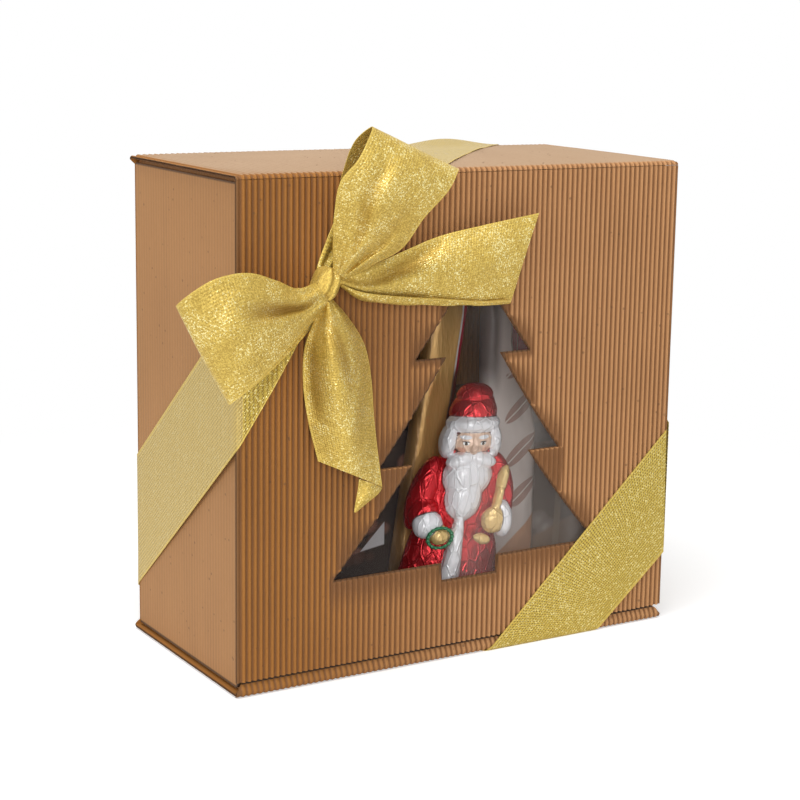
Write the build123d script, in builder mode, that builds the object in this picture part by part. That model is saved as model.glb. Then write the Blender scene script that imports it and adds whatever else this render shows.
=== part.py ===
from build123d import *
import os
from math import cos, radians, sin

# Kraft gift box: a fluted sleeve with a tree window, a slide tray with sweets, a gold ribbon and bow.
# Millimetres. The origin is the middle of the sleeve's underside, +X to the right and -Y to the front.

# sleeve
sleeve_width = 260.0
sleeve_depth = 125.0
sleeve_height = 254.0
board = 2.0
liner = 0.6
flute_pitch = 3.1
crease_radius = 0.6
crease_gap = 0.05
crest_flat = 0.15
flap_step = 5.4
flap_tuck = 20.0
flap_mitre_share = 0.5
glue_line = 0.05

# film behind the window
film_thickness = 0.25
film_margin = 12.0

# tray
tray_inset = 2.5
tray_side_play = 0.35
tray_floor_play = 0.3
tray_top_play = 1.0
wall_relief = 1.2
tab_length = 31.0
tab_margin = 4.0
corner_notch = 3.0

# ribbon
ribbon_width = 50.0
ribbon_thickness = 0.3
ribbon_lift = 0.05
split_gap = 0.3

# bow
knot_width = 13.0
knot_height = 17.0
knot_depth = 13.0
knot_round = 4.0
loop_length = 76.0
loop_end_radius = 12.0
loop_root_radius = 2.2
loop_pinch = 15.0
cloth = 0.6
knot_gap = 0.3
tail_stand = 1.6
tail_swell = 5.0
tail_overrun_share = 1.1
upper_loop_turn = (57.0, 16.0, -8.0)
left_loop_turn = (199.0, 15.0, 0.0)
right_tail_heading = 3.0
lower_tail_heading = -80.0

# sweets
figure_height = 134.0
figure_width = 61.0
figure_depth = 38.0
figure_room = 6.0
figure_foot_x = 4.0
figure_lean = 7.4
cuff_radius = 8.0
bar_thickness = 14.0
gold_bar_width = 24.0
gold_bar_headroom = 47.0
gold_bar_x = 7.0
gold_bar_lean = 8.4
cream_bar_x = 61.5
cream_bar_width = 35.0
cream_bar_headroom = 54.5
cream_bar_neck = 17.0
carton_left_height = 104.0
carton_right_height = 112.0
red_carton_width = 46.0
red_carton_height = 52.0
red_carton_depth = 30.0
carton_edge = 1.2
bar_edge = 3.0
seat = 0.2

# shares of the front panel: from its left edge, and down from its top edge
tree_axis_share = 0.511
tree_apex_share = 0.185
tree_tip_shares = [(0.1325, 0.374), (0.2095, 0.584), (0.308, 0.796)]
tree_notch_shares = [(0.0635, 0.374), (0.1365, 0.584), (0.0655, 0.796)]
trunk_foot_share = 0.832
tree_bow_share = 0.012
knot_share = (0.162, 0.205)

# outlines of the bow's tails from the knot, along and up, as shares of the ribbon's width
right_tail_shares = [(0, 0.13), (1.26, 0.40), (2.34, 0.60), (2.14, -0.36), (1.32, -0.30), (0, -0.13)]
lower_tail_shares = [
    (-0.1, 0),
    (-0.26, -0.70),
    (-0.24, -1.26),
    (-0.10, -1.74),
    (0.38, -2.00),
    (0.36, -2.28),
    (0.64, -2.04),
    (0.44, -0.84),
    (0.32, -0.46),
    (0.06, -0.14),
]

# sections of the foil figure: height, half width and half depth, as shares of its overall sizes
figure_shares = [
    (0, 0.44, 0.44),
    (0.25, 0.47, 0.48),
    (0.47, 0.50, 0.50),
    (0.62, 0.44, 0.47),
    (0.72, 0.35, 0.42),
    (0.81, 0.29, 0.36),
    (0.88, 0.26, 0.32),
    (0.95, 0.17, 0.21),
    (1, 0.07, 0.09),
]
cuff_shares = [(-0.40, 0.48), (0.33, 0.49)]
carton_split_share = 0.60
cream_shoulder_share = 0.53
cream_neck_share = 0.84

# where the ribbon's centre line crosses the box's edges, as shares of the edge's length
top_front_share = -0.21
top_back_share = 0.27
left_front_share = 0.60
left_back_share = 0.235
bottom_back_share = -0.265
bottom_front_share = 0.195
right_front_share = 0.293
right_back_share = 0.755
crossing_share = 0.705

x_left = -sleeve_width / 2
x_right = sleeve_width / 2
y_front = -sleeve_depth / 2
y_back = sleeve_depth / 2
bend = board + crease_radius
flap_show = bend + flap_step


def flute_plane(origin, across, crest):
    """plane of a cut across the flutes, with the crests on its +y side"""
    return Plane(origin=origin, x_dir=across, z_dir=Vector(*across).cross(Vector(*crest)))


def fluted_section(plane, width, spare=0):
    """cut across a fluted board: smooth on the plane's x axis, one crest to each flute on the other side"""
    count = max(1, round(width / flute_pitch))
    pitch = width / count
    middle = (board + liner) / 2
    edges = [
        Edge.make_line((0, middle), (0, 0)),
        Edge.make_line((0, 0), (width, 0)),
        Edge.make_line((width, 0), (width, middle)),
    ]
    for flute in range(count):
        start = flute * pitch
        crest = (start + pitch / 4, board + spare)
        valley = (start + 3 * pitch / 4, liner)
        edges.append(Edge.make_three_point_arc((start, middle), crest, (start + pitch / 2, middle)))
        edges.append(Edge.make_three_point_arc((start + pitch / 2, middle), valley, (start + pitch, middle)))
    with BuildSketch(plane) as cut:
        add(Face(Wire(edges)))
    return cut.sketch


def side_notches(plane, profile, depth):
    """prisms that trim a sleeve panel's two ends; a profile's points are insets and heights"""
    foot, head = profile[0][1], profile[-1][1]
    with BuildPart() as notches:
        with BuildSketch(plane):
            for side in (-1, 1):
                beyond = side * (x_right + board)
                trimmed = [(side * (x_right - inset), height) for inset, height in profile]
                with BuildLine():
                    Polyline(*trimmed, (beyond, head), (beyond, foot), close=True)
                make_face()
        extrude(amount=depth, both=True)
    return notches.part


def band(plane, first, second, thickness, spare=0):
    """flat strip between two crossings; each crossing is its centre and the direction of the box's edge"""
    half = half_crossing + spare
    (first_x, first_y), (first_along, first_up) = first
    (second_x, second_y), (second_along, second_up) = second
    with BuildPart() as strip:
        with BuildSketch(plane):
            with BuildLine():
                Polyline(
                    (first_x - half * first_along, first_y - half * first_up),
                    (first_x + half * first_along, first_y + half * first_up),
                    (second_x + half * second_along, second_y + half * second_up),
                    (second_x - half * second_along, second_y - half * second_up),
                    close=True,
                )
            make_face()
        extrude(amount=thickness)
    return strip.part


half_crossing = ribbon_width / 2 / crossing_share
cover = ribbon_lift + ribbon_thickness
along_x = (1, 0)
along_z = (0, 1)
down_z = (0, -1)
front_face = Plane(origin=(0, y_front, 0), x_dir=(1, 0, 0), z_dir=(0, -1, 0))
back_face = Plane(origin=(0, y_back, 0), x_dir=(1, 0, 0), z_dir=(0, -1, 0))

bottom_crossings = (
    ((bottom_front_share * sleeve_width, y_front - ribbon_lift), along_x),
    ((bottom_back_share * sleeve_width, y_back + ribbon_lift), along_x),
)
bottom_groove = band(Plane.XY, *bottom_crossings, cover + ribbon_lift, spare=ribbon_lift)

# sleeve: one blank folded at its creases, panel by panel round the box
tree_x = x_left + tree_axis_share * sleeve_width
tree_apex = sleeve_height * (1 - tree_apex_share)
trunk_foot = sleeve_height * (1 - trunk_foot_share)

with BuildPart() as sleeve_front_panel:
    head_z = sleeve_height - bend - crease_gap
    head = flute_plane((x_left, y_front + board, head_z), (1, 0, 0), (0, -1, 0))
    extrude(fluted_section(head, sleeve_width), amount=head_z - flap_show)
    with BuildSketch(Plane(origin=(tree_x, y_front, 0), x_dir=(1, 0, 0), z_dir=(0, -1, 0))):
        with BuildLine():
            start = (0, tree_apex)
            for tip_share, notch_share in zip(tree_tip_shares, tree_notch_shares):
                tip = (tip_share[0] * sleeve_width, sleeve_height * (1 - tip_share[1]))
                notch = (notch_share[0] * sleeve_width, sleeve_height * (1 - notch_share[1]))
                sag = tree_bow_share * (start[1] - tip[1])
                middle = ((start[0] + tip[0]) / 2 - sag, (start[1] + tip[1]) / 2 - sag)
                ThreePointArc(start, middle, tip)
                Line(tip, notch)
                start = notch
            Polyline(start, (start[0], trunk_foot), (0, trunk_foot))
            mirror(about=Plane.YZ)
        make_face()
    extrude(amount=2 * board, both=True, mode=Mode.SUBTRACT)

with BuildPart() as sleeve_top_panel:
    liner_z = sleeve_height - board
    with BuildLine() as top_run:
        Line((x_left, y_back - bend - crease_gap, liner_z), (x_left, y_front + bend, liner_z))
        TangentArc(top_run.line @ 1, (x_left, y_front + board, sleeve_height - bend), tangent=(0, -1, 0))
    start = flute_plane(top_run.line @ 0, (1, 0, 0), (0, 0, 1))
    sweep(fluted_section(start, sleeve_width), path=top_run.line)

with BuildPart() as sleeve_back_panel:
    liner_y = y_back - board
    with BuildLine() as back_run:
        Line((x_left, liner_y, bend + crease_gap), (x_left, liner_y, sleeve_height - bend))
        TangentArc(back_run.line @ 1, (x_left, y_back - bend, sleeve_height - board), tangent=(0, 0, 1))
    start = flute_plane(back_run.line @ 0, (1, 0, 0), (0, 1, 0))
    sweep(fluted_section(start, sleeve_width), path=back_run.line)
    # between mitred corners, its ends are level with the tray's side walls
    foot, head = bend, sleeve_height - bend
    profile = [(0, foot), (tray_inset, foot + tray_inset), (tray_inset, head - tray_inset), (0, head)]
    add(side_notches(back_face, profile, 2 * board), mode=Mode.SUBTRACT)

# the weight presses the lower crests flat where the box stands on them
with BuildPart() as sleeve_bottom_panel:
    with BuildLine() as bottom_run:
        Line((x_left, y_front + bend + crease_gap, board), (x_left, y_back - bend, board))
        TangentArc(bottom_run.line @ 1, (x_left, y_back - board, bend), tangent=(0, 1, 0))
    start = flute_plane(bottom_run.line @ 0, (1, 0, 0), (0, 0, -1))
    sweep(fluted_section(start, sleeve_width, crest_flat), path=bottom_run.line)
    with Locations((0, 0, sleeve_height / 2)):
        Box(sleeve_width, sleeve_depth, sleeve_height, mode=Mode.INTERSECT)
    add(bottom_groove, mode=Mode.SUBTRACT)

tuck_head = flap_show + flap_tuck
tuck_y = y_front + 2 * board + glue_line
with BuildPart() as sleeve_closing_flap:
    with BuildLine() as flap_run:
        step_y = (tuck_y + y_front + board) / 2
        Line((x_left, tuck_y, tuck_head), (x_left, tuck_y, flap_show))
        step = TangentArc(flap_run.line @ 1, (x_left, step_y, (flap_show + bend) / 2), tangent=(0, 0, -1))
        TangentArc(step @ 1, (x_left, y_front + board, bend), tangent=step % 1)
        TangentArc((x_left, y_front + board, bend), (x_left, y_front + bend, board), tangent=(0, 0, -1))
    start = flute_plane(flap_run.line @ 0, (1, 0, 0), (0, -1, 0))
    sweep(fluted_section(start, sleeve_width), path=flap_run.line)
    mitre = flap_mitre_share * (tuck_head - bend)
    add(side_notches(front_face, [(0, bend), (mitre, tuck_head)], 4 * board), mode=Mode.SUBTRACT)
    add(bottom_groove, mode=Mode.SUBTRACT)

# clear film, glued behind the front panel round the window
film_half_width = tree_tip_shares[-1][0] * sleeve_width + film_margin
film_foot = max(trunk_foot - film_margin, tuck_head + glue_line)
film_head = tree_apex + film_margin

with BuildPart() as window_film:
    with BuildSketch(front_face.offset(-board - glue_line)):
        with Locations((tree_x, (film_foot + film_head) / 2)):
            Rectangle(2 * film_half_width, film_head - film_foot)
    extrude(amount=-film_thickness)

# tray: one blank, smooth side out, flutes in; its mouth faces the film
tray_left = x_left + tray_inset
tray_right = x_right - tray_inset
tray_front = y_front + 2 * board + glue_line + tray_side_play
tray_back = y_back - board - tray_side_play
tray_foot = board + tray_floor_play
tray_head = sleeve_height - board - tray_top_play
wall_foot = tray_foot + wall_relief
wall_head = tray_head - wall_relief
inner_left = tray_left + board + glue_line
inner_right = tray_right - board - glue_line
inner_width = inner_right - inner_left
inner_back = tray_back - board - glue_line
floor = tray_foot + board
ceiling = tray_head - board

with BuildPart() as tray_left_wall:
    head = flute_plane((tray_left, tray_front, wall_head), (0, 1, 0), (1, 0, 0))
    extrude(fluted_section(head, tray_back - tray_front), amount=wall_head - wall_foot)
    with BuildSketch(Plane.YZ.offset(tray_left)):
        with Locations((tray_front, wall_head), (tray_front, wall_foot)):
            Rectangle(corner_notch, corner_notch, rotation=45)
    extrude(amount=2 * board, both=True, mode=Mode.SUBTRACT)

with BuildPart() as tray_right_wall:
    mirror(tray_left_wall.part, about=Plane.YZ)

with BuildPart() as tray_base:
    head = flute_plane((inner_left, tray_back, ceiling - glue_line), (1, 0, 0), (0, -1, 0))
    extrude(fluted_section(head, inner_width), amount=ceiling - floor - 2 * glue_line)

with BuildPart() as tray_top_wall:
    mouth = flute_plane((inner_left, tray_front, tray_head), (1, 0, 0), (0, 0, -1))
    extrude(fluted_section(mouth, inner_width), amount=tray_back - tray_front)

with BuildPart() as tray_bottom_wall:
    rear = flute_plane((inner_left, tray_back, tray_foot), (1, 0, 0), (0, 0, 1))
    extrude(fluted_section(rear, inner_width), amount=tray_back - tray_front)

tab_run = inner_back - tray_front - 2 * tab_margin
with BuildPart() as tray_corner_tabs:
    for x, inward in ((inner_left, 1), (inner_right, -1)):
        for z, fold in ((ceiling - glue_line, -1), (floor + glue_line, 1)):
            # the flutes run front to back, so the cut starts at the end that its normal points away from
            y = inner_back - tab_margin if inward * fold < 0 else tray_front + tab_margin
            start = flute_plane((x, y, z), (0, 0, fold), (inward, 0, 0))
            extrude(fluted_section(start, tab_length), amount=tab_run)

# ribbon: flat bands, face by face, between the places where they cross the box's edges
top_front_x = top_front_share * sleeve_width
top_back_x = top_back_share * sleeve_width
bottom_front_x = bottom_front_share * sleeve_width
bottom_back_x = bottom_back_share * sleeve_width
left_front_z = left_front_share * sleeve_height
left_back_z = left_back_share * sleeve_height
right_front_z = right_front_share * sleeve_height
right_back_z = right_back_share * sleeve_height
over_front = front_face.offset(ribbon_lift)
over_back = back_face.offset(-ribbon_lift)
top_z = sleeve_height + cover
back_corner_x = x_right - tray_inset


def side_plane(side, clearance):
    """plane of a side band, from the front panel's end to the back panel's, with its normal along +X"""
    front_corner = Vector(side * (x_right + clearance), y_front, 0)
    lean = Vector(side * (back_corner_x + clearance), y_back, 0) - front_corner
    return Plane(origin=front_corner, x_dir=lean, z_dir=lean.cross(Vector(0, 0, 1)))


side_run = Vector(tray_inset, sleeve_depth).length

with BuildPart() as ribbon_front_upper_band:
    crossings = ((top_front_x, top_z), along_x), ((x_left - cover, left_front_z), down_z)
    add(band(over_front, *crossings, ribbon_thickness))

with BuildPart() as ribbon_front_lower_band:
    crossings = ((bottom_front_x, ribbon_lift), along_x), ((x_right + cover, right_front_z), down_z)
    add(band(over_front, *crossings, ribbon_thickness))

with BuildPart() as ribbon_back_lower_band:
    crossings = ((bottom_back_x, ribbon_lift), along_x), ((-back_corner_x - cover, left_back_z), along_z)
    add(band(over_back, *crossings, -ribbon_thickness))

with BuildPart() as ribbon_back_upper_band:
    crossings = ((top_back_x, top_z), along_x), ((back_corner_x + cover, right_back_z), along_z)
    add(band(over_back, *crossings, -ribbon_thickness))

with BuildPart() as ribbon_top_band:
    crossings = ((top_front_x, y_front - ribbon_lift), along_x), ((top_back_x, y_back + ribbon_lift), along_x)
    add(band(Plane.XY.offset(sleeve_height + ribbon_lift), *crossings, ribbon_thickness))

with BuildPart() as ribbon_bottom_band:
    add(band(Plane.XY.offset(ribbon_lift), *bottom_crossings, ribbon_thickness))

with BuildPart() as ribbon_left_band:
    crossings = ((-ribbon_lift, left_front_z), along_z), ((side_run, left_back_z), along_z)
    add(band(side_plane(-1, ribbon_lift), *crossings, -ribbon_thickness))

# the right band is cut free of the others, because it leaves with the tray
with BuildPart() as ribbon_right_band:
    crossings = ((split_gap, right_front_z), along_z), ((side_run - split_gap, right_back_z), along_z)
    add(band(side_plane(1, ribbon_lift + split_gap), *crossings, ribbon_thickness))

# bow: a knot on the upper band, two loops and two tails that start at the knot
knot_x = x_left + knot_share[0] * sleeve_width
knot_z = sleeve_height * (1 - knot_share[1])
knot_back = y_front - cover - ribbon_lift
knot_centre = Vector(knot_x, knot_back - knot_depth / 2, knot_z)

with BuildPart() as bow_knot:
    with BuildSketch(Plane(origin=(knot_x, knot_back, knot_z), x_dir=(1, 0, 0), z_dir=(0, -1, 0))):
        RectangleRounded(knot_width, knot_height, knot_round)
    extrude(amount=knot_depth)
    fillet(bow_knot.faces().sort_by(Axis.Y)[0].edges(), radius=knot_round)

with BuildPart() as knot_space:
    with Locations(knot_centre):
        Box(knot_width + 2 * knot_gap, knot_depth + 2 * knot_gap, knot_height + 2 * knot_gap)


def loop(turn):
    """hollow loop that widens from the knot to its fold; turn is heading, lean and twist in degrees"""
    heading, lean, twist = (radians(angle) for angle in turn)
    along = Vector(cos(lean) * cos(heading), -sin(lean), cos(lean) * sin(heading))
    side = Plane(origin=knot_centre, x_dir=along, z_dir=Vector(sin(heading), -sin(twist), -cos(heading)))
    plan = Plane(origin=knot_centre, x_dir=along, z_dir=side.y_dir)
    fold_x = loop_length - loop_end_radius
    with BuildPart() as body:
        for inset, mode in ((0, Mode.ADD), (cloth, Mode.SUBTRACT)):
            with BuildSketch(side):
                with Locations((loop_root_radius, 0)):
                    Circle(loop_root_radius - inset)
                with Locations((fold_x, 0)):
                    Circle(loop_end_radius - inset)
                make_hull()
            extrude(amount=ribbon_width / 2, both=True, mode=mode)
        with BuildSketch(plan):
            with BuildLine():
                Line((0, loop_pinch / 2), (0, 0))
                Line((0, 0), (loop_length, 0))
                Line((loop_length, 0), (loop_length, ribbon_width / 2))
                Line((loop_length, ribbon_width / 2), (fold_x, ribbon_width / 2))
                Bezier(
                    (fold_x, ribbon_width / 2),
                    (fold_x / 2, ribbon_width / 2),
                    (fold_x / 3, loop_pinch / 2),
                    (0, loop_pinch / 2),
                )
            make_face()
            mirror(about=Plane.XZ)
        extrude(amount=2 * loop_end_radius, both=True, mode=Mode.INTERSECT)
        add(knot_space.part, mode=Mode.SUBTRACT)
    return body.part.solids().sort_by(SortBy.VOLUME)[-1]


def tail(outline_shares, heading, length_share):
    """flat end of the ribbon, swelling away from the box between the knot and its own tip"""
    reach = tail_overrun_share * length_share * ribbon_width
    outline = [(along * ribbon_width, up * ribbon_width) for along, up in outline_shares]
    along = Vector(cos(radians(heading)), 0, sin(radians(heading)))
    start_y = -knot_depth / 2 + tail_stand
    with BuildPart() as body:
        with BuildSketch(Plane(origin=knot_centre, x_dir=along, z_dir=along.cross(Vector(0, -1, 0)))):
            with BuildLine():
                near = ThreePointArc((0, start_y), (reach / 2, start_y + tail_swell), (reach, start_y))
                far = offset(near, amount=cloth, side=Side.LEFT, closed=True)
            make_face()
        extrude(amount=reach, both=True)
        with BuildSketch(Plane(origin=knot_centre, x_dir=(1, 0, 0), z_dir=(0, -1, 0))):
            with BuildLine():
                Polyline(*outline, close=True)
            make_face()
        extrude(amount=reach, both=True, mode=Mode.INTERSECT)
        add(knot_space.part, mode=Mode.SUBTRACT)
    return body.part.solids().sort_by(SortBy.VOLUME)[-1]


with BuildPart() as bow_upper_loop:
    add(loop(upper_loop_turn))

with BuildPart() as bow_left_loop:
    add(loop(left_loop_turn))

with BuildPart() as bow_right_tail:
    add(tail(right_tail_shares, right_tail_heading, right_tail_shares[2][0]))

with BuildPart() as bow_lower_tail:
    add(tail(lower_tail_shares, lower_tail_heading, -lower_tail_shares[5][1]))

# sweets, from the film to the tray's base: the figure, two bars, two cartons and a small carton on top
rest = floor + seat
figure_back = tray_front + figure_room + figure_depth
bar_front = figure_back + seat
carton_front = bar_front + bar_thickness + seat
carton_back = inner_back - seat
carton_left = inner_left + board + seat
carton_right = inner_right - board - seat
carton_split = carton_left + carton_split_share * (carton_right - carton_left)


def carton(left, right, front, back, foot, height):
    """closed carton with softened edges"""
    with BuildPart() as box:
        with Locations(((left + right) / 2, (front + back) / 2, foot + height / 2)):
            Box(right - left, back - front, height)
        fillet(box.edges(), radius=carton_edge)
    return box.part


with BuildPart() as foil_figure:
    figure_y = figure_back - figure_depth / 2
    slope = sin(radians(figure_lean))
    for up_share, half_width_share, half_depth_share in figure_shares:
        up = up_share * figure_height
        with BuildSketch(Plane(origin=(figure_foot_x + slope * up, figure_y, rest + up))):
            Ellipse(half_width_share * figure_width, half_depth_share * figure_depth)
    loft(ruled=True)
    for along_share, up_share in cuff_shares:
        up = up_share * figure_height
        centre_x = figure_foot_x + slope * up + along_share * figure_width
        with Locations((centre_x, figure_y - figure_depth / 3, rest + up)):
            Sphere(cuff_radius)

with BuildPart() as gold_wrapped_bar:
    lean = radians(gold_bar_lean)
    gold_height = ceiling - rest - gold_bar_headroom
    gold_bar_length = (gold_height - gold_bar_width * sin(lean)) / cos(lean)
    middle = (gold_bar_x, bar_front, rest + gold_height / 2)
    with BuildSketch(Plane(origin=middle, x_dir=(1, 0, 0), z_dir=(0, -1, 0))):
        Rectangle(gold_bar_width, gold_bar_length, rotation=-gold_bar_lean)
    extrude(amount=-bar_thickness)
    fillet(gold_wrapped_bar.edges(), radius=bar_edge)

with BuildPart() as cream_wrapped_bar:
    cream_bar_length = ceiling - rest - cream_bar_headroom
    with BuildSketch(Plane(origin=(cream_bar_x, bar_front, rest), x_dir=(1, 0, 0), z_dir=(0, -1, 0))):
        with BuildLine():
            Polyline(
                (-cream_bar_width / 2, 0),
                (-cream_bar_width / 2, cream_bar_length),
                (cream_bar_neck - cream_bar_width / 2, cream_bar_length),
                (cream_bar_neck - cream_bar_width / 2, cream_neck_share * cream_bar_length),
                (cream_bar_width / 2, cream_shoulder_share * cream_bar_length),
                (cream_bar_width / 2, 0),
                close=True,
            )
        make_face()
    extrude(amount=-bar_thickness)
    fillet(cream_wrapped_bar.edges(), radius=bar_edge)

with BuildPart() as dark_praline_carton:
    add(carton(carton_left, carton_split - seat, carton_front, carton_back, rest, carton_left_height))

with BuildPart() as dark_chocolate_carton:
    add(carton(carton_split, carton_right, carton_front, carton_back, rest, carton_right_height))

with BuildPart() as red_carton:
    red_front = (carton_front + carton_back - red_carton_depth) / 2
    red_foot = rest + carton_right_height + seat
    red_left = carton_right - red_carton_width
    add(carton(red_left, carton_right, red_front, red_front + red_carton_depth, red_foot, red_carton_height))

pieces = {
    "sleeve_front_panel": sleeve_front_panel,
    "sleeve_top_panel": sleeve_top_panel,
    "sleeve_back_panel": sleeve_back_panel,
    "sleeve_bottom_panel": sleeve_bottom_panel,
    "sleeve_closing_flap": sleeve_closing_flap,
    "window_film": window_film,
    "tray_base": tray_base,
    "tray_left_wall": tray_left_wall,
    "tray_right_wall": tray_right_wall,
    "tray_top_wall": tray_top_wall,
    "tray_bottom_wall": tray_bottom_wall,
    "tray_corner_tabs": tray_corner_tabs,
    "ribbon_front_upper_band": ribbon_front_upper_band,
    "ribbon_front_lower_band": ribbon_front_lower_band,
    "ribbon_back_lower_band": ribbon_back_lower_band,
    "ribbon_back_upper_band": ribbon_back_upper_band,
    "ribbon_top_band": ribbon_top_band,
    "ribbon_bottom_band": ribbon_bottom_band,
    "ribbon_left_band": ribbon_left_band,
    "ribbon_right_band": ribbon_right_band,
    "bow_knot": bow_knot,
    "bow_upper_loop": bow_upper_loop,
    "bow_left_loop": bow_left_loop,
    "bow_right_tail": bow_right_tail,
    "bow_lower_tail": bow_lower_tail,
    "foil_figure": foil_figure,
    "gold_wrapped_bar": gold_wrapped_bar,
    "cream_wrapped_bar": cream_wrapped_bar,
    "dark_praline_carton": dark_praline_carton,
    "dark_chocolate_carton": dark_chocolate_carton,
    "red_carton": red_carton,
}

os.makedirs("parts", exist_ok=True)
for name, piece in pieces.items():
    piece.part.label = name
    export_step(piece.part, "parts/" + name + ".step")
    print(name, len(piece.part.solids()), round(piece.part.volume))
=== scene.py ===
from math import atan2, cos, exp, pi, radians, sin, sqrt

import bpy
from mathutils import Matrix, Vector, noise


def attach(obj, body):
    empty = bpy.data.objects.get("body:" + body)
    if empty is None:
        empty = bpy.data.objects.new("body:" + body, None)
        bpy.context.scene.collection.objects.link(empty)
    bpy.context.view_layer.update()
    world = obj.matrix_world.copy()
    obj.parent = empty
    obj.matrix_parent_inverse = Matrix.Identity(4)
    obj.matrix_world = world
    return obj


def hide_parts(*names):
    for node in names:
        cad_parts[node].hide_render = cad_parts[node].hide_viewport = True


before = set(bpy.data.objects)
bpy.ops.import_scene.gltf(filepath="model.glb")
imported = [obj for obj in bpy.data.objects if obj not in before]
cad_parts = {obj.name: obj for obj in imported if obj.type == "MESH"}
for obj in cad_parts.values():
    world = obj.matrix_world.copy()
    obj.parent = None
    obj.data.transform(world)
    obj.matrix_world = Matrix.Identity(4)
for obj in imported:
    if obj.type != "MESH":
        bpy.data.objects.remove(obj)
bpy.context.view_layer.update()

mm = 0.001
halfWide, halfDeep, tall = 130, 62.5, 254  # the sleeve's size, mm


def between(low, value, high):
    return max(low, min(high, value))


def eased(t):
    return t * t * (3 - 2 * t)


def wobble(x, y, z):
    return noise.noise(Vector((x, y, z)))


# shader maths: a socket that takes part in sums, and the material that it belongs to

class Shade:
    def __init__(self, paint, socket):
        self.paint = paint
        self.socket = socket

    def math(self, operation, *values):
        return self.paint.node("Math", {"operation": operation}, values)

    def __add__(self, other):
        return self.math("ADD", self, other)

    def __radd__(self, other):
        return self.math("ADD", other, self)

    def __sub__(self, other):
        return self.math("SUBTRACT", self, other)

    def __rsub__(self, other):
        return self.math("SUBTRACT", other, self)

    def __mul__(self, other):
        return self.math("MULTIPLY", self, other)

    def __truediv__(self, other):
        return self.math("DIVIDE", self, other)

    def __pow__(self, other):
        return self.math("POWER", self, other)

    def larger(self, other):
        return self.math("MAXIMUM", self, other)

    def wave(self):
        return self.math("SINE", self)

    def size(self):
        return self.math("ABSOLUTE", self)

    def above(self, edge, soft):
        return self.paint.step(self, edge - soft, edge + soft)

    def below(self, edge, soft):
        return self.paint.step(self, edge + soft, edge - soft)


class Paint:
    def __init__(self, name, store="materials"):
        self.owner = getattr(bpy.data, store).new(name)
        self.owner.use_nodes = True
        self.tree = self.owner.node_tree
        self.tree.nodes.clear()

    def node(self, kind, settings, sockets, out=0):
        made = self.tree.nodes.new("ShaderNode" + kind)
        for key, value in settings.items():
            setattr(made, key, value)
        for key, value in sockets.items() if isinstance(sockets, dict) else enumerate(sockets):
            socket = made.inputs[key]
            if isinstance(value, Shade):
                self.tree.links.new(value.socket, socket)
            elif isinstance(value, tuple) and len(value) == 3 and len(socket.default_value) == 4:
                socket.default_value = (*value, 1)
            else:
                socket.default_value = value
        return Shade(self, made.outputs[out]) if made.outputs else None

    def place(self):
        return self.node("TexCoord", {}, {}, "Object")

    def cloth(self):
        return self.node("UVMap", {"uv_map": "UVMap"}, {})

    def attribute(self, name, out="Fac"):
        return self.node("Attribute", {"attribute_name": name}, {}, out)

    def axes(self, vector):
        return [self.node("SeparateXYZ", {}, [vector], axis) for axis in "XYZ"]

    def scaled(self, vector, scale, turn=(0, 0, 0)):
        return self.node("Mapping", {}, {"Vector": vector, "Scale": scale, "Rotation": turn})

    def noise(self, vector, scale, detail=2.0, rough=0.5):
        sockets = {"Vector": vector, "Scale": scale, "Detail": detail, "Roughness": rough}
        return self.node("TexNoise", {}, sockets, "Fac")

    def cells(self, vector, scale, out="Color", feature="F1"):
        return self.node("TexVoronoi", {"feature": feature}, {"Vector": vector, "Scale": scale}, out)

    def step(self, value, low, high):
        return self.node("MapRange", {"interpolation_type": "SMOOTHSTEP"}, [value, low, high])

    def ramp(self, value, *stops):  # two stops: each its place and colour
        made = self.node("ValToRGB", {}, [value], "Color")
        for element, (place, colour) in zip(made.socket.node.color_ramp.elements, stops):
            element.position = place
            element.color = (*colour, 1)
        return made

    def mix(self, factor, first, second):
        return self.node("Mix", {"data_type": "RGBA"}, {0: factor, 6: first, 7: second}, 2)

    def layered(self, colour, *layers):  # each layer: how much of it shows, and its colour
        for share, tone in layers:
            colour = self.mix(share, colour, tone)
        return colour

    def times(self, first, second):
        settings = {"data_type": "RGBA", "blend_type": "MULTIPLY"}
        return self.node("Mix", settings, {0: 1.0, 6: first, 7: second}, 2)

    def bump(self, height, strength, distance, under=None):
        sockets = {"Height": height, "Strength": strength, "Distance": distance}
        if under:
            sockets["Normal"] = under
        return self.node("Bump", {}, sockets)

    def surface(self, **sockets):
        named = {key.replace("_", " "): value for key, value in sockets.items()}
        return self.node("BsdfPrincipled", {}, named)

    def finish(self, shader, kind="Material"):
        self.node("Output" + kind, {}, [shader])
        return self.owner

    def solid(self, colour, **sockets):
        return self.finish(self.surface(Base_Color=colour, **sockets))


# camera, light and floor

view = {
    "place": (-0.516928, -0.855091, 0.332537),
    "turn": (79.01636, -1.22816, -32.71051),  # degrees
    "lens": 85.7805,
    "sensor": 36,
    "shift": (-0.080482, -0.031100),
    "frame": 800,  # pixels a side
}
lamps = {  # place, what it looks at, size and watts
    "lampTop": ((-0.35, -0.42, 1.9), (0, 0, 0.2), 1.2, 25),
    "lampLeft": ((-1.9, -0.3, 0.9), (0, 0, 0.12), 1.3, 10),
    "lampFront": ((-1.0, -2.0, 0.75), (0, 0, 0.12), 1.0, 17),
}
sky = {"plain": 0.25, "seen": 1.0}
ground = {"side": 12, "colour": (0.80, 0.80, 0.80), "glow": 0.42, "fade": (0.42, 0.12)}


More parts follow.
